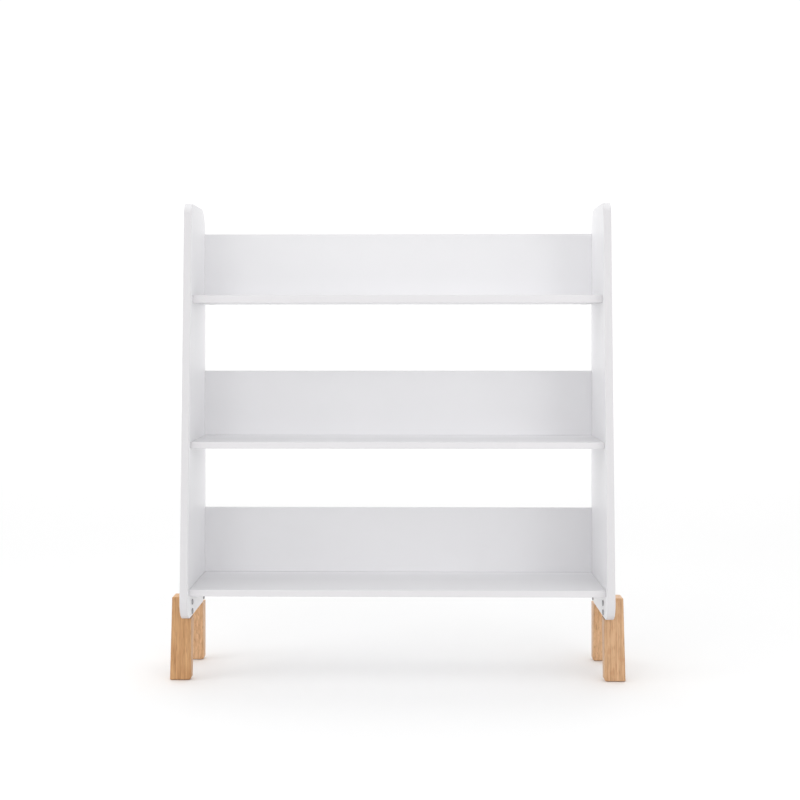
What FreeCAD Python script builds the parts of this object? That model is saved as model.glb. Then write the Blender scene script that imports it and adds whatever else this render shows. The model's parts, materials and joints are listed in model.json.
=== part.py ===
import FreeCAD, Part
import math
import os

from FreeCAD import Vector

# Children's bookcase: two lacquered side panels, three shelves, three low back boards and four
# notched timber legs.  Millimetres.  X runs across the front, +Y to the rear, +Z up.  The origin is
# at floor level, midway between the sides and midway between the foremost and rearmost points.

# ---- Driving dimensions -------------------------------------------------------------------------

# Side panels
INNER_WIDTH = 934.0
PANEL_THICKNESS = 18.0
PANEL_BOTTOM = 143.0
PANEL_TOP = 1083.0
PANEL_DEPTH_AT_BOTTOM = 282.8
PANEL_DEPTH_AT_TOP = 214.0
FRONT_TOP_RADIUS = 25.0
REAR_TOP_RADIUS = 60.0
FRONT_BOTTOM_RADIUS = 42.0
REAR_BOTTOM_RADIUS = 50.0
BOARD_ARRIS = 2.0

# Shelves: name, underside height, thickness, setback from the sloping front edge
SHELF_PITCH = 330.0
LOWEST_UNDERSIDE = 195.5
SHELVES = (
    ("bottom", LOWEST_UNDERSIDE, 15.0, 22.0),
    ("middle", LOWEST_UNDERSIDE + SHELF_PITCH, 15.0, 22.0),
    ("top", LOWEST_UNDERSIDE + 2 * SHELF_PITCH, 18.0, 30.0),
)
SHELF_ARRIS = 1.5

# Back boards, each standing on its shelf flush with the rear edges
BACK_THICKNESS = 12.0
BACK_TOP_ABOVE_UNDERSIDE = 170.5
BACK_ARRIS = 3.0
BACK_FOOT_ARRIS = 0.8
BACK_END_ARRIS = 0.5

# Legs, notched to lap the outside of the panel
LEG_TOP = 189.0
LEG_DEPTH = 46.0
FOOT_DEPTH = 28.0
LEG_FLARE_AT_TOP = 25.0
LEG_FLARE_AT_FLOOR = 30.0
SHOULDER_GAP = 3.2
FRONT_LEG_SETBACK = 54.0
LEG_ARRIS = 3.0
FOOT_ARRIS = 1.0
FOOT_INNER_RADIUS = 6.0
GLIDE_THICKNESS = 1.2
GLIDE_RADIUS = 9.0
GLIDE_CHAMFER = 0.5
GLIDE_PIN_RADIUS = 1.25
GLIDE_PIN_LENGTH = 12.0

# Leg bolts: M6 furniture bolts into threaded inserts in the leg
BOLT_HEIGHTS = (154.0, 175.0)
FRONT_BOLT_INSET = 17.0
REAR_BOLT_INSET = 36.0
BOLT_RADIUS = 3.0
BOLT_LENGTH = 32.0
BOLT_HEAD_RADIUS = 6.2
BOLT_HEAD_HEIGHT = 2.6
BOLT_HEAD_ROUNDING = 1.0
BOLT_SOCKET_ACROSS_FLATS = 4.0
BOLT_SOCKET_DEPTH = 2.2
HEXAGON = 6
INSERT_RADIUS = 5.0
INSERT_LENGTH = 16.0
BOLT_CLEARANCE = 0.2

# Shelf-end dowels and cam fittings
DOWEL_RADIUS = 4.0
DOWEL_LENGTH = 30.0
DOWEL_IN_PANEL = 10.5
DOWEL_CHAMFER = 0.8
CAM_OFFSET = 24.0
CAM_RADIUS = 7.5
CAM_ROOF = 2.7
CAM_CHANNEL_RADIUS = 3.5
CAM_RECESS_LENGTH = 8.0
CAM_RECESS_WIDTH = 1.4
CAM_RECESS_DEPTH = 2.5
CAM_BOLT_THREAD_RADIUS = 2.5
CAM_BOLT_THREAD_LENGTH = 11.0
CAM_BOLT_SHANK_RADIUS = 3.4
CAM_BOLT_NECK_RADIUS = 1.6
CAM_BOLT_HEAD_RADIUS = 3.0
CAM_BOLT_HEAD_LENGTH = 2.5
CAM_BOLT_HEAD_START = 1.0
CAM_BOLT_NECK_EXPOSED = 1.0
CAM_CAP_RADIUS = 8.5
CAM_CAP_THICKNESS = 0.8
CAM_CAP_CHAMFER = 0.4
REAR_FITTING_INSET = 50.0
FRONT_FITTING_INSET = 40.0
DOWEL_TO_CAM = 32.0

# Back board dowels and screws
BACK_DOWEL_RADIUS = 3.0
BACK_DOWEL_LENGTH = 24.0
BACK_DOWEL_IN_PANEL = 9.0
BACK_DOWEL_INSETS = (38.0, 117.0)
BACK_SCREW_POSITIONS = (-310.0, 0.0, 310.0)
BACK_SCREW_RADIUS = 2.0
BACK_SCREW_LENGTH = 42.0
BACK_SCREW_HEAD_RADIUS = 4.0
BACK_SCREW_HEAD_HEIGHT = 2.6
SCREW_RECESS_LENGTH = 4.4
SCREW_RECESS_WIDTH = 1.0
SCREW_RECESS_DEPTH = 1.6

HOLE_RELIEF = 0.8
CUT_MARGIN = 1.0
SAME_PLACE = 0.01

# ---- Derived positions --------------------------------------------------------------------------

PANEL_INNER = INNER_WIDTH / 2
PANEL_OUTER = PANEL_INNER + PANEL_THICKNESS
FRONT_SLOPE = (PANEL_DEPTH_AT_BOTTOM - PANEL_DEPTH_AT_TOP) / (PANEL_TOP - PANEL_BOTTOM)
# the rounded bottom front corner is foremost level with its centre
ROUNDING_LOSS = FRONT_BOTTOM_RADIUS * (FRONT_SLOPE + math.hypot(1, FRONT_SLOPE) - 1)
OVERALL_DEPTH = PANEL_DEPTH_AT_BOTTOM - ROUNDING_LOSS
REAR = OVERALL_DEPTH / 2
BACK_AXIS_Y = REAR - BACK_THICKNESS / 2
LEG_BOTTOM = GLIDE_THICKNESS
SHOULDER_Z = PANEL_BOTTOM - SHOULDER_GAP


def front_edge_y(z):
    """Y of the panels' sloping front edge at height z."""
    return REAR - PANEL_DEPTH_AT_BOTTOM + FRONT_SLOPE * (z - PANEL_BOTTOM)


def shelf_front_y(underside, thickness, setback):
    """Y of a shelf's front face, measured at half its thickness."""
    return front_edge_y(underside + thickness / 2) + setback


# ---- Geometry helpers ---------------------------------------------------------------------------

def block(x_range, y_range, z_range):
    """A box between two values on each axis."""
    size = [high - low for low, high in (x_range, y_range, z_range)]
    return Part.makeBox(*size, Vector(x_range[0], y_range[0], z_range[0]))


def rod_x(radius, x_start, x_end, y, z):
    """A cylinder along +X."""
    return Part.makeCylinder(radius, x_end - x_start, Vector(x_start, y, z), Vector(1, 0, 0))


def rod_z(radius, x, y, z_start, z_end):
    """A cylinder along +Z."""
    return Part.makeCylinder(radius, z_end - z_start, Vector(x, y, z_start), Vector(0, 0, 1))


def rounded_outline(corners):
    """A closed wire through (point, radius) corners, each rounded with a tangent arc."""
    pieces = []
    count = len(corners)
    for index, (corner, radius) in enumerate(corners):
        toward_last = (corners[index - 1][0] - corner).normalize()
        toward_next = (corners[(index + 1) % count][0] - corner).normalize()
        half_angle = toward_last.getAngle(toward_next) / 2
        reach = radius / math.tan(half_angle)
        bisector = (toward_last + toward_next).normalize()
        middle = corner + bisector * (radius / math.sin(half_angle) - radius)
        pieces.append((corner + toward_last * reach, middle, corner + toward_next * reach))
    edges = []
    for index, (start, middle, end) in enumerate(pieces):
        edges.append(Part.Arc(start, middle, end).toShape())
        edges.append(Part.LineSegment(end, pieces[(index + 1) % count][0]).toShape())
    return Part.Wire(edges)


def cross_recess(x, y, z, length, width, depth):
    """Two crossed slots for a driver, cut upward from height z."""
    height = (z, z + depth)
    slot_x = block((x - length / 2, x + length / 2), (y - width / 2, y + width / 2), height)
    slot_y = block((x - width / 2, x + width / 2), (y - length / 2, y + length / 2), height)
    return slot_x.fuse(slot_y)


def prism(wire, direction):
    """The solid swept by a closed flat wire along a vector."""
    return Part.Face(wire).extrude(direction)


def fillet_where(solid, radius, chosen):
    """Round the edges of a solid for which chosen(edge) is true."""
    return solid.makeFillet(radius, [edge for edge in solid.Edges if chosen(edge)])


def lies_at(edge, axis, value):
    """True where a whole edge lies in the plane axis = value."""
    return all(abs(getattr(vertex.Point, axis) - value) < SAME_PLACE for vertex in edge.Vertexes)


def drilled(solid, holes):
    """The solid with every hole cut out of it."""
    return solid.cut(Part.makeCompound(holes)).Solids[0]


def mirrored(solid):
    """The same solid on the other side of the centre plane."""
    return solid.mirror(Vector(0, 0, 0), Vector(1, 0, 0))


def both_sides(solids):
    """Each solid with its mirror image."""
    return [copy for solid in solids for copy in (mirrored(solid), solid)]


def save(name, solids):
    """Write one node: a single solid, or a group of identical separate solids."""
    shape = solids[0] if len(solids) == 1 else Part.makeCompound(solids)
    shape.exportStep("parts/" + name + ".step")


# ---- Fastener positions -------------------------------------------------------------------------

def shelf_fittings(level):
    """Y positions of the cams and of the dowels at one end of a shelf."""
    _, underside, thickness, setback = level
    front_cam = shelf_front_y(underside, thickness, setback) + FRONT_FITTING_INSET
    rear_cam = REAR - REAR_FITTING_INSET
    cams = (front_cam, rear_cam)
    dowels = (front_cam + DOWEL_TO_CAM, rear_cam - DOWEL_TO_CAM)
    return cams, dowels


def back_dowel_heights(level):
    """Z positions of the two dowels at one end of a back board."""
    _, underside, thickness, _ = level
    return [underside + thickness + inset for inset in BACK_DOWEL_INSETS]


def leg_positions():
    """Name, Y of the bolts, Y of the outer vertical face and the side the leg tapers from."""
    front_face = REAR - PANEL_DEPTH_AT_BOTTOM + FRONT_LEG_SETBACK
    return (
        ("front", front_face + FRONT_BOLT_INSET, front_face, 1),
        ("rear", REAR - REAR_BOLT_INSET, REAR, -1),
    )


# ---- Boards -------------------------------------------------------------------------------------

def side_panel():
    """The right-hand side panel with its blind and through holes."""
    corners = (
        (Vector(PANEL_INNER, REAR, PANEL_BOTTOM), REAR_BOTTOM_RADIUS),
        (Vector(PANEL_INNER, front_edge_y(PANEL_BOTTOM), PANEL_BOTTOM), FRONT_BOTTOM_RADIUS),
        (Vector(PANEL_INNER, front_edge_y(PANEL_TOP), PANEL_TOP), FRONT_TOP_RADIUS),
        (Vector(PANEL_INNER, REAR, PANEL_TOP), REAR_TOP_RADIUS),
    )
    panel = prism(rounded_outline(corners), Vector(PANEL_THICKNESS, 0, 0))
    for face_x in (PANEL_INNER, PANEL_OUTER):
        panel = fillet_where(panel, BOARD_ARRIS, lambda edge: lies_at(edge, "x", face_x))
    holes = []
    for level in SHELVES:
        _, underside, thickness, _ = level
        axis_z = underside + thickness / 2
        cams, dowels = shelf_fittings(level)
        for y in cams:
            depth = CAM_BOLT_THREAD_LENGTH
            holes.append(rod_x(CAM_BOLT_THREAD_RADIUS, PANEL_INNER, PANEL_INNER + depth, y, axis_z))
        for y in dowels:
            depth = DOWEL_IN_PANEL + HOLE_RELIEF
            holes.append(rod_x(DOWEL_RADIUS, PANEL_INNER, PANEL_INNER + depth, y, axis_z))
        for z in back_dowel_heights(level):
            depth = BACK_DOWEL_IN_PANEL + HOLE_RELIEF
            holes.append(rod_x(BACK_DOWEL_RADIUS, PANEL_INNER, PANEL_INNER + depth, BACK_AXIS_Y, z))
    for _, bolt_y, _, _ in leg_positions():
        for z in BOLT_HEIGHTS:
            holes.append(rod_x(BOLT_RADIUS + BOLT_CLEARANCE, PANEL_INNER, PANEL_OUTER, bolt_y, z))
    return drilled(panel, holes)


def shelf(level):
    """One shelf with its end holes, cam bores and back board screw holes."""
    _, underside, thickness, setback = level
    front = shelf_front_y(underside, thickness, setback)
    top = underside + thickness
    axis_z = underside + thickness / 2
    board = block((-PANEL_INNER, PANEL_INNER), (front, REAR), (underside, top))
    board = board.makeFillet(SHELF_ARRIS, board.Edges)
    cams, dowels = shelf_fittings(level)
    cam_x = PANEL_INNER - CAM_OFFSET
    holes = []
    for y in cams:
        holes.append(rod_z(CAM_RADIUS, cam_x, y, underside, top - CAM_ROOF))
        holes.append(rod_x(CAM_CHANNEL_RADIUS, cam_x, PANEL_INNER, y, axis_z))
    for y in dowels:
        depth = DOWEL_LENGTH - DOWEL_IN_PANEL + HOLE_RELIEF
        holes.append(rod_x(DOWEL_RADIUS, PANEL_INNER - depth, PANEL_INNER, y, axis_z))
    holes = both_sides(holes)
    for x in BACK_SCREW_POSITIONS:
        holes.append(back_screw_body(x, underside))
    return drilled(board, holes)


def back_board(level):
    """One low back board with its end dowel holes and the pilot holes for its screws."""
    _, underside, thickness, _ = level
    bottom = underside + thickness
    top = underside + BACK_TOP_ABOVE_UNDERSIDE
    front = REAR - BACK_THICKNESS
    board = block((-PANEL_INNER, PANEL_INNER), (front, REAR), (bottom, top))

    def long_edge_at(height):
        return lambda edge: abs(edge.Length - INNER_WIDTH) < SAME_PLACE and lies_at(edge, "z", height)

    board = fillet_where(board, BACK_ARRIS, long_edge_at(top))
    board = fillet_where(board, BACK_FOOT_ARRIS, long_edge_at(bottom))
    for end_x in (-PANEL_INNER, PANEL_INNER):
        board = fillet_where(board, BACK_END_ARRIS, lambda edge: lies_at(edge, "x", end_x))
    holes = []
    depth = BACK_DOWEL_LENGTH - BACK_DOWEL_IN_PANEL + HOLE_RELIEF
    for z in back_dowel_heights(level):
        holes.append(rod_x(BACK_DOWEL_RADIUS, PANEL_INNER - depth, PANEL_INNER, BACK_AXIS_Y, z))
    holes = both_sides(holes)
    for x in BACK_SCREW_POSITIONS:
        holes.append(back_screw_body(x, underside))
    return drilled(board, holes)


# ---- Legs ---------------------------------------------------------------------------------------

def leg(bolt_y, straight_face_y, taper_side):
    """A right-hand leg: an L-shaped block that laps the panel and tapers towards the foot."""
    outer_top = PANEL_OUTER + LEG_FLARE_AT_TOP
    outer_bottom = PANEL_OUTER + LEG_FLARE_AT_FLOOR
    outline = [
        Vector(PANEL_INNER, 0, LEG_BOTTOM),
        Vector(outer_bottom, 0, LEG_BOTTOM),
        Vector(outer_top, 0, LEG_TOP),
        Vector(PANEL_OUTER, 0, LEG_TOP),
        Vector(PANEL_OUTER, 0, SHOULDER_Z),
        Vector(PANEL_INNER, 0, SHOULDER_Z),
    ]
    outline = [Vector(point.x, straight_face_y, point.z) for point in outline]
    wire = Part.makePolygon(outline + outline[:1])
    body = prism(wire, Vector(0, taper_side * LEG_DEPTH, 0))

    # wedge that leaves only FOOT_DEPTH at the floor
    shoulder_y = straight_face_y + taper_side * LEG_DEPTH
    foot_y = straight_face_y + taper_side * FOOT_DEPTH
    wedge_points = [
        Vector(PANEL_INNER - CUT_MARGIN, shoulder_y, SHOULDER_Z),
        Vector(PANEL_INNER - CUT_MARGIN, foot_y, LEG_BOTTOM),
        Vector(PANEL_INNER - CUT_MARGIN, shoulder_y, LEG_BOTTOM),
    ]
    wedge = prism(Part.makePolygon(wedge_points + wedge_points[:1]), Vector(outer_bottom, 0, 0))
    body = body.cut(wedge).Solids[0]

    def inner_foot(edge):
        return lies_at(edge, "x", PANEL_INNER) and lies_at(edge, "z", LEG_BOTTOM)

    def exposed_arris(edge):
        touches_panel = lies_at(edge, "x", PANEL_OUTER) or lies_at(edge, "z", SHOULDER_Z)
        return not touches_panel and (is_upright(edge) or lies_at(edge, "z", LEG_TOP))

    body = fillet_where(body, FOOT_INNER_RADIUS, inner_foot)
    body = fillet_where(body, LEG_ARRIS, exposed_arris)
    body = fillet_where(body, FOOT_ARRIS, lambda edge: lies_at(edge, "z", LEG_BOTTOM))
    centre = foot_centre(straight_face_y, taper_side)
    holes = [rod_z(GLIDE_PIN_RADIUS, centre.x, centre.y, LEG_BOTTOM, LEG_BOTTOM + GLIDE_PIN_LENGTH)]
    for z in BOLT_HEIGHTS:
        depth = INSERT_LENGTH + HOLE_RELIEF
        holes.append(rod_x(INSERT_RADIUS, PANEL_OUTER, PANEL_OUTER + depth, bolt_y, z))
    return drilled(body, holes)


def is_upright(edge):
    """True for the edges that run up a leg."""
    low, high = sorted(vertex.Point.z for vertex in edge.Vertexes)
    return high - low > LEG_DEPTH


def foot_centre(straight_face_y, taper_side):
    """Middle of a leg's bottom face."""
    x = (PANEL_INNER + PANEL_OUTER + LEG_FLARE_AT_FLOOR) / 2
    return Vector(x, straight_face_y + taper_side * FOOT_DEPTH / 2, 0)


def foot_glide(straight_face_y, taper_side):
    """A nail-in plastic glide under a leg."""
    centre = foot_centre(straight_face_y, taper_side)
    disc = rod_z(GLIDE_RADIUS, centre.x, centre.y, 0, GLIDE_THICKNESS)
    disc = disc.makeChamfer(GLIDE_CHAMFER, [edge for edge in disc.Edges if lies_at(edge, "z", 0)])
    pin_end = LEG_BOTTOM + GLIDE_PIN_LENGTH
    pin = rod_z(GLIDE_PIN_RADIUS, centre.x, centre.y, GLIDE_THICKNESS, pin_end)
    return disc.fuse(pin).removeSplitter()


# ---- Fasteners ----------------------------------------------------------------------------------

def leg_bolt(y, z):
    """A flat-headed furniture bolt, its head against the panel's inner face."""
    rim_x = PANEL_INNER - BOLT_HEAD_HEIGHT
    head = rod_x(BOLT_HEAD_RADIUS, rim_x, PANEL_INNER, y, z)
    head = fillet_where(head, BOLT_HEAD_ROUNDING, lambda edge: lies_at(edge, "x", rim_x))
    shank = rod_x(BOLT_RADIUS, PANEL_INNER, PANEL_INNER + BOLT_LENGTH, y, z)
    corner_radius = BOLT_SOCKET_ACROSS_FLATS / math.sqrt(3)
    corners = []
    for index in range(HEXAGON + 1):
        angle = math.radians(360 / HEXAGON * index)
        corner_y = y + corner_radius * math.cos(angle)
        corners.append(Vector(rim_x, corner_y, z + corner_radius * math.sin(angle)))
    socket = prism(Part.makePolygon(corners), Vector(BOLT_SOCKET_DEPTH, 0, 0))
    return head.fuse(shank).removeSplitter().cut(socket).Solids[0]


def leg_insert(y, z):
    """A threaded insert in the leg, bored for the bolt."""
    body = rod_x(INSERT_RADIUS, PANEL_OUTER, PANEL_OUTER + INSERT_LENGTH, y, z)
    bore = rod_x(BOLT_RADIUS, PANEL_OUTER, PANEL_OUTER + INSERT_LENGTH, y, z)
    return body.cut(bore).Solids[0]


def wooden_dowel(radius, x_start, x_end, y, z):
    """A dowel along X with chamfered ends."""
    pin = rod_x(radius, x_start, x_end, y, z)
    ends = [edge for edge in pin.Edges if lies_at(edge, "x", x_start) or lies_at(edge, "x", x_end)]
    return pin.makeChamfer(DOWEL_CHAMFER, ends)


def cam_bolt(y, z):
    """The bolt that a cam draws in: thread, shank, neck and head in one line."""
    cam_x = PANEL_INNER - CAM_OFFSET
    thread_end = PANEL_INNER + CAM_BOLT_THREAD_LENGTH
    shank_start = cam_x + CAM_RADIUS + CAM_BOLT_NECK_EXPOSED
    head_start = cam_x + CAM_BOLT_HEAD_START
    thread = rod_x(CAM_BOLT_THREAD_RADIUS, PANEL_INNER, thread_end, y, z)
    shank = rod_x(CAM_BOLT_SHANK_RADIUS, shank_start, PANEL_INNER, y, z)
    neck = rod_x(CAM_BOLT_NECK_RADIUS, head_start, shank_start, y, z)
    head = rod_x(CAM_BOLT_HEAD_RADIUS, head_start, head_start + CAM_BOLT_HEAD_LENGTH, y, z)
    return thread.fuse([shank, neck, head]).removeSplitter().Solids[0]


def cam_lock(y, level):
    """A round cam let into the shelf from below, with a bolt channel and a cross recess."""
    _, underside, thickness, _ = level
    cam_x = PANEL_INNER - CAM_OFFSET
    body = rod_z(CAM_RADIUS, cam_x, y, underside, underside + thickness - CAM_ROOF)
    channel = rod_x(CAM_CHANNEL_RADIUS, cam_x, PANEL_INNER, y, underside + thickness / 2)
    recess = cross_recess(cam_x, y, underside, CAM_RECESS_LENGTH, CAM_RECESS_WIDTH,
                          CAM_RECESS_DEPTH)
    return body.cut([channel, recess]).Solids[0]


def cam_cap(y, level):
    """A thin plastic disc that covers a cam."""
    cam_x = PANEL_INNER - CAM_OFFSET
    underside = level[1]
    disc = rod_z(CAM_CAP_RADIUS, cam_x, y, underside - CAM_CAP_THICKNESS, underside)
    rim = underside - CAM_CAP_THICKNESS
    rim_edges = [edge for edge in disc.Edges if lies_at(edge, "z", rim)]
    return disc.makeChamfer(CAM_CAP_CHAMFER, rim_edges)


def back_screw_body(x, underside):
    """The envelope of a countersunk screw driven up through a shelf into its back board."""
    head = Part.makeCone(BACK_SCREW_HEAD_RADIUS, BACK_SCREW_RADIUS, BACK_SCREW_HEAD_HEIGHT,
                         Vector(x, BACK_AXIS_Y, underside), Vector(0, 0, 1))
    start = underside + BACK_SCREW_HEAD_HEIGHT
    shank = rod_z(BACK_SCREW_RADIUS, x, BACK_AXIS_Y, start, underside + BACK_SCREW_LENGTH)
    return head.fuse(shank).removeSplitter().Solids[0]


def back_screw(x, underside):
    """A countersunk screw with a cross recess."""
    recess = cross_recess(x, BACK_AXIS_Y, underside, SCREW_RECESS_LENGTH, SCREW_RECESS_WIDTH,
                          SCREW_RECESS_DEPTH)
    return back_screw_body(x, underside).cut(recess).Solids[0]


# ---- Build and write every node -----------------------------------------------------------------

def write_sides():
    panel = side_panel()
    save("side_panel_right", [panel])
    save("side_panel_left", [mirrored(panel)])


def write_legs():
    for name, bolt_y, straight_face_y, taper_side in leg_positions():
        pieces = {
            "leg_" + name: [leg(bolt_y, straight_face_y, taper_side)],
            "leg_bolts_" + name: [leg_bolt(bolt_y, z) for z in BOLT_HEIGHTS],
            "leg_inserts_" + name: [leg_insert(bolt_y, z) for z in BOLT_HEIGHTS],
            "foot_glide_" + name: [foot_glide(straight_face_y, taper_side)],
        }
        for node, solids in pieces.items():
            save(node + "_right", solids)
            save(node + "_left", [mirrored(solid) for solid in solids])


def write_shelf_set(level):
    name, underside, thickness, _ = level
    axis_z = underside + thickness / 2
    cams, dowels = shelf_fittings(level)
    dowel_start = PANEL_INNER + DOWEL_IN_PANEL - DOWEL_LENGTH
    dowel_end = PANEL_INNER + DOWEL_IN_PANEL
    save("shelf_" + name, [shelf(level)])
    save("shelf_dowels_" + name, both_sides(
        [wooden_dowel(DOWEL_RADIUS, dowel_start, dowel_end, y, axis_z) for y in dowels]))
    save("cam_bolts_" + name, both_sides([cam_bolt(y, axis_z) for y in cams]))
    save("cam_locks_" + name, both_sides([cam_lock(y, level) for y in cams]))
    save("cam_caps_" + name, both_sides([cam_cap(y, level) for y in cams]))


def write_back_set(level):
    name, underside, _, _ = level
    dowel_start = PANEL_INNER + BACK_DOWEL_IN_PANEL - BACK_DOWEL_LENGTH
    dowel_end = PANEL_INNER + BACK_DOWEL_IN_PANEL
    save("back_board_" + name, [back_board(level)])
    save("back_dowels_" + name, both_sides(
        [wooden_dowel(BACK_DOWEL_RADIUS, dowel_start, dowel_end, BACK_AXIS_Y, z)
         for z in back_dowel_heights(level)]))
    save("back_screws_" + name, [back_screw(x, underside) for x in BACK_SCREW_POSITIONS])


os.makedirs("parts", exist_ok=True)
write_sides()
write_legs()
for shelf_level in SHELVES:
    write_shelf_set(shelf_level)
    write_back_set(shelf_level)
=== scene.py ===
import json
import math

import bpy
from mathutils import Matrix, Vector


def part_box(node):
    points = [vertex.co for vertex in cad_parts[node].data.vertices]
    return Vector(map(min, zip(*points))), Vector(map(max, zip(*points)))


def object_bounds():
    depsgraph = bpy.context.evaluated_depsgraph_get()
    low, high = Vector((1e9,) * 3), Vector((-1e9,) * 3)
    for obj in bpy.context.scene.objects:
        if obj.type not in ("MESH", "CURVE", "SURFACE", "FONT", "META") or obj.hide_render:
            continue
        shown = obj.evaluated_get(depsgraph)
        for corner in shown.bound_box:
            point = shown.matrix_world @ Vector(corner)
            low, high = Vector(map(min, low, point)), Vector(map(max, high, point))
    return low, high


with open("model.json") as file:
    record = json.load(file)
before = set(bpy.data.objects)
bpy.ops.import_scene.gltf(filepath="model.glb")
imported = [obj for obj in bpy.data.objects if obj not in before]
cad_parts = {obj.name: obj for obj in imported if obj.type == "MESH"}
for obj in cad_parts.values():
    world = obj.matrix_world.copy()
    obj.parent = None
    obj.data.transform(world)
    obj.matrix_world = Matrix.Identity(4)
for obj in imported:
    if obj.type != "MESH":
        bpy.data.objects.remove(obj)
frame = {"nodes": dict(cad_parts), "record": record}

CAD_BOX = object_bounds()

# Camera: level and nearly square to the case, a little right of its centre line (metres, radians)
CAMERA_X = 0.0311
CAMERA_DISTANCE = 3.3914
CAMERA_HEIGHT = 0.7857
CAMERA_YAW = 0.0181
CAMERA_ROLL = 0.0004
LENS_MM = 63.0
SENSOR_MM = 36.0
SHIFT_X = 0.01825
SHIFT_Y = -0.083125

# Half the side of the square floor
FLOOR_HALF = 16.0

# Underside of the lowest shelf, and the spacing of the shelves
LOWEST_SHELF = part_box("shelf_bottom")[0].z
SHELF_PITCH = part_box("shelf_middle")[0].z - LOWEST_SHELF

# Soft studio light: a dome of even brightness, with a broad lobe added toward five directions
DOME_BASE = 0.57
LOBE_POWER = 2.0
DOME_LOBES = (
    ("X", 1.0, 0.11),
    ("X", -1.0, 0.45),
    ("Y", 1.0, 0.50),
    ("Y", -1.0, 0.15),
    ("Z", 1.0, 0.46),
)
LIGHT_CENTRE = Vector((0.0, -0.1, 0.55))
LIGHT_DISTANCE = 3.2
# Softboxes: azimuth and elevation span in degrees seen from the case, and brightness
SOFTBOXES = {
    "key_right": ((26.0, 40.0), (2.0, 18.0), 3.30),
    "key_left": ((-32.0, -18.0), (2.0, 18.0), 2.30),
    "fill_right": ((40.0, 60.0), (2.0, 18.0), 1.50),
    "rim_right": ((60.0, 85.0), (2.0, 18.0), 0.62),
    "fill_left": ((-85.0, -60.0), (18.0, 40.0), 1.70),
    "top_front": ((-20.0, 20.0), (45.0, 65.0), 0.90),
}
# Background light: centre, size and brightness of a panel over the floor behind the case
BACKGROUND_CENTRE = Vector((0.0, 12.0, 5.0))
BACKGROUND_SIZE = 14.0
BACKGROUND_BRIGHTNESS = 0.25

# White lacquer: its tones, and the tint of its sanding marks, of the painted shade on its board edges,
# and of its rubbed arrises
LACQUER_TONES = ((0.3, (0.845, 0.842, 0.857)), (0.7, (0.865, 0.862, 0.877)))
SANDING_TINT = (0.80, 0.79, 0.80)
EDGE_SHADE_TINT = (1.0, 0.985, 1.005)
RUBBED_TINT = (0.66, 0.64, 0.61)
FACE_TONE = 0.86
# Tone of the board edges against FACE_TONE: painted shade on edges that don't face upward, set lower so
# that edges read apart from faces
PANEL_EDGE_SHADE = 0.795
SHELF_EDGE_SHADE = 0.850
BACK_EDGE_SHADE = 0.90
# Coat tone along the depth of the case, or up a back board, each place from 0 to 1. This is shading
# kept in the coat: it evens out the corner shade of the studio light, and 1.0 throughout is plain.
PANEL_PAINTED_SHADING = ((0.10, 0.93), (0.45, 0.96), (0.80, 1.03), (0.95, 1.08))
SHELF_PAINTED_SHADING = ((0.10, 0.88), (0.60, 0.89), (0.78, 0.97), (0.90, 1.08))
BACK_PAINTED_SHADING = ((0.0, 1.07), (0.35, 1.01), (1.0, 0.94))
# Foot and top edge of a back board above the underside of its shelf, in metres
BACK_FOOT = 0.015
BACK_TOP = 0.170

# Leg timber: dark, middle and light tones of two boards, and the tint of a fleck
DEEP = ((0.345, 0.155, 0.055), (0.490, 0.258, 0.108), (0.625, 0.365, 0.172))
PALE = ((0.400, 0.212, 0.100), (0.545, 0.320, 0.168), (0.660, 0.425, 0.245))
FLECK_TINT = (0.46, 0.21, 0.09)
# Each leg's wood shade and brightness, its place in the grain pattern and how strongly it is flecked.
# The brightness is partly the wood's own colour and partly painted light: each leg is made lighter or
# darker to stand in for how it is lit
LEG_SHADES = {
    "leg_front_left": (DEEP, 1.05, (0.13, 0.41, 0.07), 0.20),
    "leg_rear_left": (PALE, 1.22, (0.57, 0.22, 0.31), 0.15),
    "leg_front_right": (PALE, 1.07, (0.81, 0.66, 0.52), 0.45),
    "leg_rear_right": (PALE, 1.17, (0.27, 0.93, 0.74), 0.15),
}
# Scales of the leg grain along X, Y and Z, low along the leg so that each figure runs up it
WARP_SCALE = (9.0, 9.0, 1.6)
STREAK_SCALE = (430.0, 430.0, 6.0)
FIBRE_SCALE = (900.0, 900.0, 22.0)
PATCH_SCALE = (34.0, 34.0, 14.0)
FLECK_SCALE = (210.0, 210.0, 42.0)
PORE_SCALE = (620.0, 620.0, 34.0)
# Growth bands: radians per metre across the leg, and how far the warp bends them
BANDS_X = 620.0
BANDS_Y = 410.0
BAND_BEND = 14.0


def scaled(colour, factor):
    """A colour made brighter or darker, held at 1."""
    return tuple(min(1.0, factor * c) for c in colour)


def grey_stops(tones):
    """Places and tones as the grey stops of a colour ramp."""
    return [(place, (tone, tone, tone)) for place, tone in tones]


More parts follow.
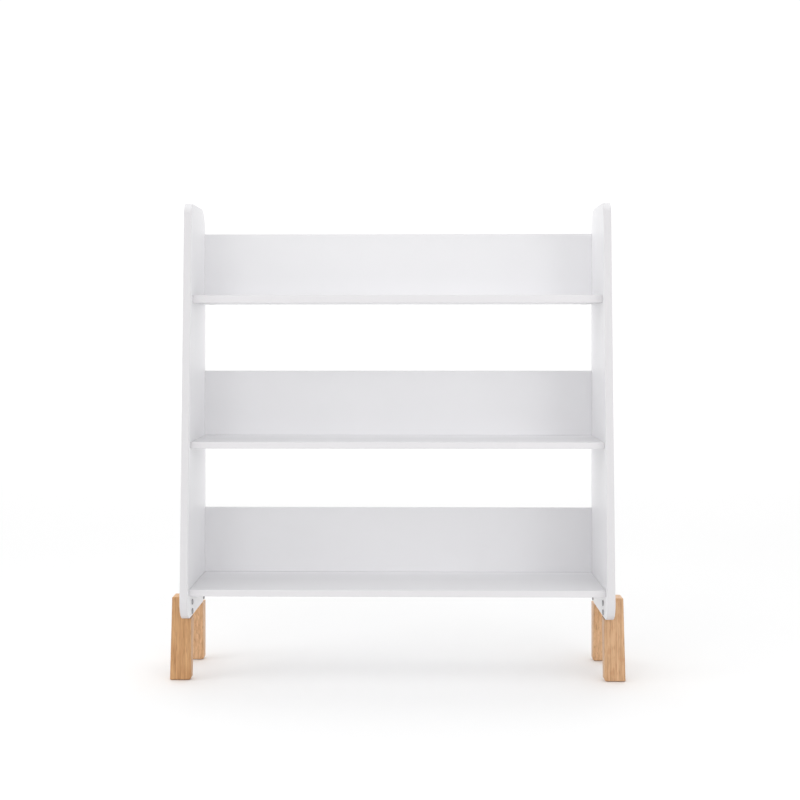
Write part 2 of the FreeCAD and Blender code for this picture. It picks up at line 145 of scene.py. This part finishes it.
class Shading:
    """One procedural material, with short calls for the nodes it is made of."""

    def __init__(self, name):
        self.material = bpy.data.materials.new(name)
        self.material.use_nodes = True
        self.tree = self.material.node_tree
        self.shader = self.tree.nodes["Principled BSDF"]
        self.place = self.node("ShaderNodeTexCoord").outputs["Object"]

    def node(self, kind, inputs=None, **settings):
        made = self.tree.nodes.new(kind)
        for name, value in settings.items():
            setattr(made, name, value)
        for name, value in (inputs or {}).items():
            self.feed(made.inputs[name], value)
        return made

    def feed(self, socket, value):
        if isinstance(value, bpy.types.NodeSocket):
            self.tree.links.new(value, socket)
        else:
            socket.default_value = value

    def stretched(self, scale, offset=(0.0, 0.0, 0.0)):
        """Object coordinates scaled by a factor on each axis."""
        inputs = {"Vector": self.place, "Location": offset, "Scale": scale}
        mapped = self.node("ShaderNodeMapping", inputs)
        return mapped.outputs["Vector"]

    def noise(self, vector, scale=1.0, detail=2.0, roughness=0.5):
        made = self.node("ShaderNodeTexNoise", {"Vector": vector, "Scale": scale, "Detail": detail,
                                                "Roughness": roughness})
        return made.outputs["Fac"]

    def math(self, operation, first, second=0.0):
        made = self.node("ShaderNodeMath", operation=operation)
        self.feed(made.inputs[0], first)
        self.feed(made.inputs[1], second)
        return made.outputs[0]

    def spread(self, value, low, high, out_low=0.0, out_high=1.0):
        """value taken from one range to another, held at the ends."""
        made = self.node("ShaderNodeMapRange", {"Value": value, "From Min": low, "From Max": high,
                                                "To Min": out_low, "To Max": out_high})
        return made.outputs["Result"]

    def ramp(self, value, stops):
        made = self.node("ShaderNodeValToRGB", {"Fac": value})
        elements = made.color_ramp.elements
        while len(elements) < len(stops):
            elements.new(0.5)
        for element, (position, colour) in zip(elements, stops):
            element.position = position
            element.color = (*colour, 1.0)
        return made.outputs["Color"]

    def mix(self, factor, first, second, blend="MIX"):
        made = self.node("ShaderNodeMix", data_type="RGBA", blend_type=blend)
        self.feed(made.inputs["Factor"], factor)
        for socket, colour in (("A", first), ("B", second)):
            linked = isinstance(colour, bpy.types.NodeSocket)
            self.feed(made.inputs[socket], colour if linked else (*colour, 1.0))
        return made.outputs["Result"]

    def edges(self, radius):
        """About 1 on arrises and 0 on flats, from a rounded normal against the true one."""
        rounded = self.node("ShaderNodeBevel", {"Radius": radius}, samples=4).outputs["Normal"]
        true = self.node("ShaderNodeNewGeometry").outputs["Normal"]
        made = self.node("ShaderNodeVectorMath", operation="DOT_PRODUCT")
        self.feed(made.inputs[0], rounded)
        self.feed(made.inputs[1], true)
        return self.spread(made.outputs["Value"], 0.995, 0.86)

    def finish(self, colour, roughness, height, depth, strength=1.0):
        bump = self.node("ShaderNodeBump", {"Height": height, "Distance": depth, "Strength": strength})
        self.feed(self.shader.inputs["Base Color"], colour)
        self.feed(self.shader.inputs["Roughness"], roughness)
        self.feed(self.shader.inputs["Normal"], bump.outputs["Normal"])
        return self.material


def white_lacquer(name, face_axis, grain_axis, edge_shade_tone, painted_shading, tones):
    """Sprayed satin lacquer on board: orange peel, faint sanding marks, painted shade on board edges,
    and painted light and shade from a table.
    """
    s = Shading("white_lacquer_" + name)
    long_way = {"X": (0.03, 1.0, 1.0), "Z": (1.0, 1.0, 0.03)}[grain_axis]
    drift = s.noise(s.place, 3.5, 3.0, 0.55)
    peel = s.noise(s.place, 420.0, 2.0, 0.5)
    sanding = s.noise(s.stretched(long_way), 700.0, 3.0, 0.6)
    worn = s.math("MULTIPLY", s.edges(0.0016), s.spread(s.noise(s.place, 60.0, 3.0, 0.6), 0.35, 0.75))
    true = s.node("ShaderNodeNewGeometry").outputs["Normal"]
    facing = s.node("ShaderNodeSeparateXYZ", {"Vector": true}).outputs
    # Painted shade: board edges are darkened, all but those that face upward, standing in for the shade
    # the light leaves on them
    edge = s.spread(s.math("ABSOLUTE", facing[face_axis]), 0.95, 0.60)
    edge = s.math("MULTIPLY", edge, s.spread(facing["Z"], 0.15, 0.70, 1.0, 0.0))
    tone = s.ramp(drift, LACQUER_TONES)
    tone = s.mix(s.spread(sanding, 0.2, 0.8, 0.0, 0.05), tone, SANDING_TINT)
    # Painted light and shade from the table: lighter in the corners at the back and at the foot, darker
    # toward the front or top, against the studio light's corner shade
    tone = s.mix(1.0, tone, painted_shading(s, tones), "MULTIPLY")
    tone = s.mix(edge, tone, scaled(EDGE_SHADE_TINT, FACE_TONE * edge_shade_tone))
    tone = s.mix(s.math("MULTIPLY", worn, 0.35), tone, RUBBED_TINT)
    roughness = s.spread(s.math("ADD", drift, s.math("MULTIPLY", sanding, 0.5)), 0.4, 1.1, 0.34, 0.46)
    height = s.math("ADD", peel, s.math("MULTIPLY", sanding, 0.5))
    return s.finish(tone, roughness, height, 0.00003, 0.6)


def painted_shading_by_depth(s, tones):
    """Painted shade and light along the depth of the case: darker toward the front, lighter toward the
    back corners.
    """
    depth = s.node("ShaderNodeSeparateXYZ", {"Vector": s.place}).outputs["Y"]
    return s.ramp(s.spread(depth, -CAD_BOX[1].y, CAD_BOX[1].y), grey_stops(tones))


def painted_shading_by_height(s, tones):
    """Painted shade and light up each back board: darker toward its top edge, lighter at its foot."""
    height = s.node("ShaderNodeSeparateXYZ", {"Vector": s.place}).outputs["Z"]
    rise = s.math("MODULO", s.math("SUBTRACT", height, LOWEST_SHELF), SHELF_PITCH)
    return s.ramp(s.spread(rise, BACK_FOOT, BACK_TOP), grey_stops(tones))


def leg_timber(name, shade, brightness, offset, figure):
    """Oiled hardwood with the grain up the leg: fine fibre lines, pores, growth bands and flecks, and a
    painted highlight on faces that turn upward.
    """
    s = Shading("leg_timber_" + name)
    # The leg's brightness is partly its own wood colour and partly painted light for how that leg is
    # lit
    dark, mid, light = (scaled(colour, brightness) for colour in shade)
    warp = s.noise(s.stretched(WARP_SCALE, offset), 1.0, 3.0, 0.5)
    across = s.node("ShaderNodeSeparateXYZ", {"Vector": s.place})
    line = s.math("ADD", s.math("MULTIPLY", across.outputs["X"], BANDS_X),
                  s.math("MULTIPLY", across.outputs["Y"], BANDS_Y))
    rings = s.math("ADD", line, s.math("MULTIPLY", warp, BAND_BEND))
    bands = s.math("MULTIPLY", s.math("ADD", s.math("SINE", rings), 1.0), 0.5)
    streaks = s.noise(s.stretched(STREAK_SCALE, offset), 1.0, 2.0, 0.6)
    fibre = s.noise(s.stretched(FIBRE_SCALE, offset), 1.0, 2.0, 0.6)
    grain = s.math("ADD", s.math("MULTIPLY", bands, 0.10),
                   s.math("ADD", s.math("MULTIPLY", streaks, 0.55), s.math("MULTIPLY", fibre, 0.35)))
    tone = s.ramp(grain, ((0.33, dark), (0.50, mid), (0.66, light)))
    patch = s.noise(s.stretched(PATCH_SCALE, offset), 1.0, 2.0, 0.5)
    tone = s.mix(s.spread(patch, 0.40, 0.62, 0.0, 0.45), tone, light)
    fleck = s.spread(s.noise(s.stretched(FLECK_SCALE, offset), 1.0, 2.0, 0.5), 0.52, 0.64)
    tone = s.mix(s.math("MULTIPLY", fleck, figure), tone, FLECK_TINT)
    pores = s.spread(s.noise(s.stretched(PORE_SCALE, offset), 1.0, 1.0, 0.4), 0.60, 0.68)
    tone = s.mix(s.math("MULTIPLY", pores, 0.38), tone, scaled(dark, 0.62))
    # Painted highlight: faces that turn upward are made lighter, standing in for the light they catch
    # from above
    true = s.node("ShaderNodeNewGeometry").outputs["Normal"]
    upward = s.node("ShaderNodeSeparateXYZ", {"Vector": true})
    painted_top_highlight = s.spread(upward.outputs["Z"], 0.55, 0.85)
    tone = s.mix(s.math("MULTIPLY", painted_top_highlight, 0.55), tone, scaled(light, 1.3))
    worn = s.edges(0.0022)
    tone = s.mix(s.math("MULTIPLY", worn, 0.25), tone, scaled(light, 1.25))
    roughness = s.spread(grain, 0.3, 0.7, 0.52, 0.40)
    height = s.math("SUBTRACT", grain, pores)
    return s.finish(tone, roughness, height, 0.00012, 0.5)


def metal(name, colour, low, high):
    """Plated metal with fine turning marks and small changes in gloss."""
    s = Shading(name)
    s.shader.inputs["Metallic"].default_value = 1.0
    marks = s.noise(s.place, 1400.0, 2.0, 0.5)
    drift = s.noise(s.place, 160.0, 3.0, 0.6)
    tone = s.mix(s.spread(drift, 0.3, 0.7, 0.0, 0.3), colour, scaled(colour, 0.7))
    tone = s.mix(s.math("MULTIPLY", s.edges(0.0004), 0.4), tone, scaled(colour, 1.3))
    return s.finish(tone, s.spread(marks, 0.3, 0.7, low, high), marks, 0.00002, 0.5)


def plastic(name, colour):
    """Moulded plastic with a fine texture."""
    s = Shading(name)
    fine = s.noise(s.place, 2200.0, 2.0, 0.5)
    drift = s.noise(s.place, 90.0, 2.0, 0.5)
    tone = s.mix(s.spread(drift, 0.3, 0.7, 0.0, 0.25), colour, scaled(colour, 0.88))
    tone = s.mix(s.math("MULTIPLY", s.edges(0.0004), 0.3), tone, scaled(colour, 0.8))
    return s.finish(tone, s.spread(fine, 0.3, 0.7, 0.42, 0.56), fine, 0.00003, 0.5)


def beech():
    """Plain turned dowel wood."""
    s = Shading("beech")
    fibre = s.noise(s.stretched((20.0, 900.0, 900.0)), 1.0, 3.0, 0.6)
    fleck = s.spread(s.noise(s.stretched((200.0, 1600.0, 1600.0)), 1.0, 1.0, 0.4), 0.66, 0.74)
    tone = s.ramp(fibre, ((0.2, (0.52, 0.35, 0.20)), (0.8, (0.70, 0.52, 0.34))))
    tone = s.mix(s.math("MULTIPLY", fleck, 0.5), tone, (0.36, 0.22, 0.12))
    return s.finish(tone, s.spread(fibre, 0.2, 0.8, 0.62, 0.52), fibre, 0.00006, 0.5)


def floor_material():
    s = Shading("studio_floor")
    drift = s.noise(s.place, 0.8, 3.0, 0.5)
    tone = s.ramp(drift, ((0.3, (0.955, 0.955, 0.955)), (0.7, (0.965, 0.965, 0.965))))
    return s.finish(tone, s.spread(drift, 0.3, 0.7, 0.75, 0.85), drift, 0.0002, 0.2)


def paint_nodes():
    """Give every CAD node the material of its slot."""
    by_slot = {
        "steel_fixings": metal("steel", (0.40, 0.40, 0.41), 0.30, 0.42),
        "zinc_fittings": metal("zinc", (0.66, 0.67, 0.68), 0.34, 0.48),
        "white_plastic": plastic("white_plastic", (0.78, 0.78, 0.77)),
        "glide_plastic": plastic("glide_plastic", (0.72, 0.72, 0.70)),
        "beech_dowels": beech(),
    }
    lacquer = {
        "side": white_lacquer("side_panels", "X", "Z", PANEL_EDGE_SHADE, painted_shading_by_depth, PANEL_PAINTED_SHADING),
        "shel": white_lacquer("shelves", "Z", "X", SHELF_EDGE_SHADE, painted_shading_by_depth, SHELF_PAINTED_SHADING),
        "back": white_lacquer("back_boards", "Y", "X", BACK_EDGE_SHADE, painted_shading_by_height, BACK_PAINTED_SHADING),
    }
    for part in frame["record"]["subparts"]:
        name = part["node"]
        slot = part["material_slot"]
        if slot == "white_lacquer":
            material = lacquer[name[:4]]
        elif slot == "leg_timber":
            material = leg_timber(name, *LEG_SHADES[name])
        else:
            material = by_slot[slot]
        mesh = frame["nodes"][name].data
        mesh.materials.clear()
        mesh.materials.append(material)


def make_floor():
    mesh = bpy.data.meshes.new("floor")
    corners = [(x * FLOOR_HALF, y * FLOOR_HALF, 0.0) for x, y in ((-1, -1), (1, -1), (1, 1), (-1, 1))]
    mesh.from_pydata(corners, [], [(0, 1, 2, 3)])
    floor = bpy.data.objects.new("floor", mesh)
    bpy.context.scene.collection.objects.link(floor)
    mesh.materials.append(floor_material())


def make_dome():
    """A white world whose brightness depends only on direction."""
    world = bpy.data.worlds.new("studio")
    world.use_nodes = True
    tree = world.node_tree

    def math_node(operation, first, second):
        made = tree.nodes.new("ShaderNodeMath")
        made.operation = operation
        for socket, value in zip(made.inputs, (first, second)):
            if isinstance(value, bpy.types.NodeSocket):
                tree.links.new(value, socket)
            else:
                socket.default_value = value
        return made.outputs[0]

    split = tree.nodes.new("ShaderNodeSeparateXYZ")
    tree.links.new(tree.nodes.new("ShaderNodeTexCoord").outputs["Generated"], split.inputs[0])
    total = DOME_BASE
    for axis, sign, strength in DOME_LOBES:
        toward = math_node("MAXIMUM", math_node("MULTIPLY", split.outputs[axis], sign), 0.0)
        lobe = math_node("MULTIPLY", math_node("POWER", toward, LOBE_POWER), strength)
        total = math_node("ADD", lobe, total)
    background = tree.nodes["Background"]
    background.inputs["Color"].default_value = (1.0, 1.0, 1.0, 1.0)
    tree.links.new(total, background.inputs["Strength"])
    bpy.context.scene.world = world


def area_light(name, position, direction, width, height, brightness):
    data = bpy.data.lights.new(name, "AREA")
    data.shape = "RECTANGLE"
    data.size = width
    data.size_y = height
    data.energy = math.pi * width * height * brightness
    light = bpy.data.objects.new(name, data)
    light.location = position
    light.rotation_euler = direction.to_track_quat("-Z", "Y").to_euler()
    light.visible_camera = False
    bpy.context.scene.collection.objects.link(light)


def make_lights():
    for name, (azimuths, elevations, brightness) in SOFTBOXES.items():
        azimuth = math.radians(sum(azimuths) / 2)
        elevation = math.radians(sum(elevations) / 2)
        outward = Vector((math.sin(azimuth) * math.cos(elevation),
                          -math.cos(azimuth) * math.cos(elevation),
                          math.sin(elevation)))
        width, height = (2 * LIGHT_DISTANCE * math.tan(math.radians(high - low) / 2)
                         for low, high in (azimuths, elevations))
        area_light(name, LIGHT_CENTRE + LIGHT_DISTANCE * outward, -outward, width * math.cos(elevation),
                   height, brightness)
    area_light("background_light", BACKGROUND_CENTRE, Vector((0.0, 0.0, -1.0)), BACKGROUND_SIZE,
               BACKGROUND_SIZE, BACKGROUND_BRIGHTNESS)


def make_camera():
    rear = CAD_BOX[1].y
    data = bpy.data.cameras.new("camera")
    data.lens = LENS_MM
    data.sensor_width = SENSOR_MM
    data.shift_x = SHIFT_X
    data.shift_y = SHIFT_Y
    camera = bpy.data.objects.new("camera", data)
    camera.location = (CAMERA_X, rear - CAMERA_DISTANCE, CAMERA_HEIGHT)
    camera.rotation_euler = (math.pi / 2, CAMERA_ROLL, CAMERA_YAW)
    bpy.context.scene.collection.objects.link(camera)
    bpy.context.scene.camera = camera


paint_nodes()
make_floor()
make_dome()
make_lights()
make_camera()
bpy.context.scene.view_settings.view_transform = "Standard"
